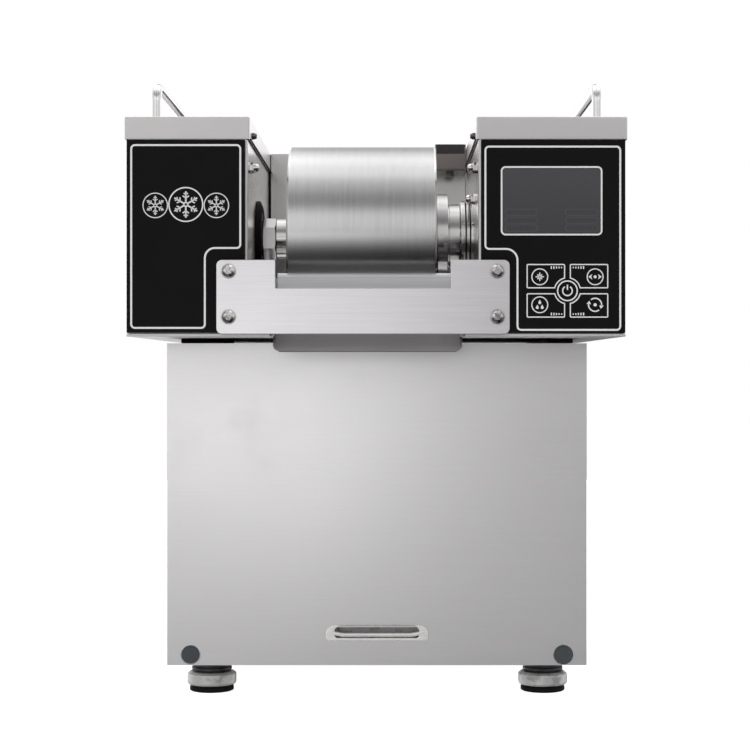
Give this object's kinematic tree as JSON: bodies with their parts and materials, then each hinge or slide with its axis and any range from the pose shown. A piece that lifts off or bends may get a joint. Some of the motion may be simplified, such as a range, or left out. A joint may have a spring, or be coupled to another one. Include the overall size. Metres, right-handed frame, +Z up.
{
  "type": "shaved ice machine",
  "caption": "Table-top snow-ice machine: a chilled drum between two sheet-metal housings, scraped over a front chute, on a compressor cabinet with feet.",
  "frame": {"origin": "on the floor, under the middle of the outline", "axes": "+Z up, -Y the front with the chute and the keys, +X to the right seen from the front"},
  "size_m": [0.432, 0.4797, 0.5536],
  "materials": {
    "brushed_steel": "brushed stainless sheet",
    "polished_steel": "polished stainless steel",
    "dull_steel": "machined steel",
    "copper": "drawn copper tube",
    "aluminium": "fin stock",
    "black_acrylic": "black acrylic front with printed lines",
    "display_glass": "unlit screen",
    "black_rubber": "moulded rubber",
    "black_plastic": "moulded plastic",
    "grey_plastic": "moulded plastic",
    "smoked_plastic": "dark smoked plastic",
    "tank_plastic": "food-safe polypropylene",
    "black_paint": "black enamel",
    "grey_paint": "grey enamel",
    "circuit_board": "green board with black components"
  },
  "bodies": {
    "chassis": {"back_plate": "brushed_steel", "base_tray": "brushed_steel", "bracket_screw_left_lower": "polished_steel", "bracket_screw_left_upper": "polished_steel", "bracket_screw_right_lower": "polished_steel", "bracket_screw_right_upper": "polished_steel", "cabinet_shell": "brushed_steel", "compressor": "black_paint", "condenser": "aluminium", "control_board": "circuit_board", "deck_cushion_left": "black_rubber", "deck_cushion_right": "black_rubber", "deck_plate": "brushed_steel", "discharge_pipe": "copper", "display_window": "display_glass", "fan_frame": "black_plastic", "flake_chute": "brushed_steel", "front_bracket": "brushed_steel", "gearmotor": "grey_paint", "left_bearing": "black_plastic", "left_fascia": "black_acrylic", "left_handle": "polished_steel", "left_housing": "brushed_steel", "left_lid": "brushed_steel", "liquid_tray": "polished_steel", "power_inlet": "black_plastic", "rear_panel": "brushed_steel", "right_bearing": "polished_steel", "right_fascia": "black_acrylic", "right_handle": "polished_steel", "right_housing": "brushed_steel", "right_lid": "brushed_steel", "rotary_joint": "dull_steel", "scraper_blade": "polished_steel", "suction_pipe": "copper", "supply_nozzle": "smoked_plastic", "supply_tank": "tank_plastic"},
    "drum": {"drum_shell": "polished_steel", "drum_cap_left": "polished_steel", "drum_cap_right": "polished_steel", "hub_nut": "polished_steel"},
    "fan": {"fan_rotor": "black_plastic"},
    "access_panel": {"front_panel": "brushed_steel", "pull_cup": "polished_steel", "corner_cap_left": "grey_plastic", "corner_cap_right": "grey_plastic"},
    "tank_cover": {"tank_lid": "tank_plastic"},
    "snow_key": {"key_snow": "black_acrylic"},
    "speed_key": {"key_speed": "black_acrylic"},
    "wash_key": {"key_wash": "black_acrylic"},
    "mode_key": {"key_mode": "black_acrylic"},
    "power_key": {"key_power": "black_acrylic"},
    "foot_front_left": {"foot_cup_front_left": "polished_steel", "foot_pad_front_left": "black_rubber"},
    "foot_front_right": {"foot_cup_front_right": "polished_steel", "foot_pad_front_right": "black_rubber"},
    "foot_rear_left": {"foot_cup_rear_left": "polished_steel", "foot_pad_rear_left": "black_rubber"},
    "foot_rear_right": {"foot_cup_rear_right": "polished_steel", "foot_pad_rear_right": "black_rubber"}
  },
  "joints": [
    {"name": "drum_spin", "type": "hinge", "parent": "chassis", "child": "drum", "pos_m": [-0.013, -0.112, 0.4162], "axis": [1, 0, 0], "continuous": true},
    {"name": "fan_spin", "type": "hinge", "parent": "chassis", "child": "fan", "pos_m": [0.099, 0.181, 0.151], "axis": [0, 1, 0], "continuous": true},
    {"name": "panel_swing", "type": "hinge", "parent": "chassis", "child": "access_panel", "pos_m": [0, -0.1351, 0.314], "axis": [-1, 0, 0], "range_deg": [0, 60]},
    {"name": "lid_lift", "type": "slide", "parent": "chassis", "child": "tank_cover", "axis": [0, 0, 1], "range_m": [0, 0.05]},
    {"name": "press_snow", "type": "slide", "parent": "chassis", "child": "snow_key", "axis": [0, 1, 0], "range_m": [0, 0.0008], "stiffness_N_per_m": 600},
    {"name": "press_speed", "type": "slide", "parent": "chassis", "child": "speed_key", "axis": [0, 1, 0], "range_m": [0, 0.0008], "stiffness_N_per_m": 600},
    {"name": "press_wash", "type": "slide", "parent": "chassis", "child": "wash_key", "axis": [0, 1, 0], "range_m": [0, 0.0008], "stiffness_N_per_m": 600},
    {"name": "press_mode", "type": "slide", "parent": "chassis", "child": "mode_key", "axis": [0, 1, 0], "range_m": [0, 0.0008], "stiffness_N_per_m": 600},
    {"name": "press_power", "type": "slide", "parent": "chassis", "child": "power_key", "axis": [0, 1, 0], "range_m": [0, 0.0008], "stiffness_N_per_m": 600},
    {"name": "foot_screw_front_left", "type": "slide", "parent": "chassis", "child": "foot_front_left", "axis": [0, 0, -1], "range_m": [0, 0.008]},
    {"name": "foot_screw_front_right", "type": "slide", "parent": "chassis", "child": "foot_front_right", "axis": [0, 0, -1], "range_m": [0, 0.008]},
    {"name": "foot_screw_rear_left", "type": "slide", "parent": "chassis", "child": "foot_rear_left", "axis": [0, 0, -1], "range_m": [0, 0.008]},
    {"name": "foot_screw_rear_right", "type": "slide", "parent": "chassis", "child": "foot_rear_right", "axis": [0, 0, -1], "range_m": [0, 0.008]}
  ]
}
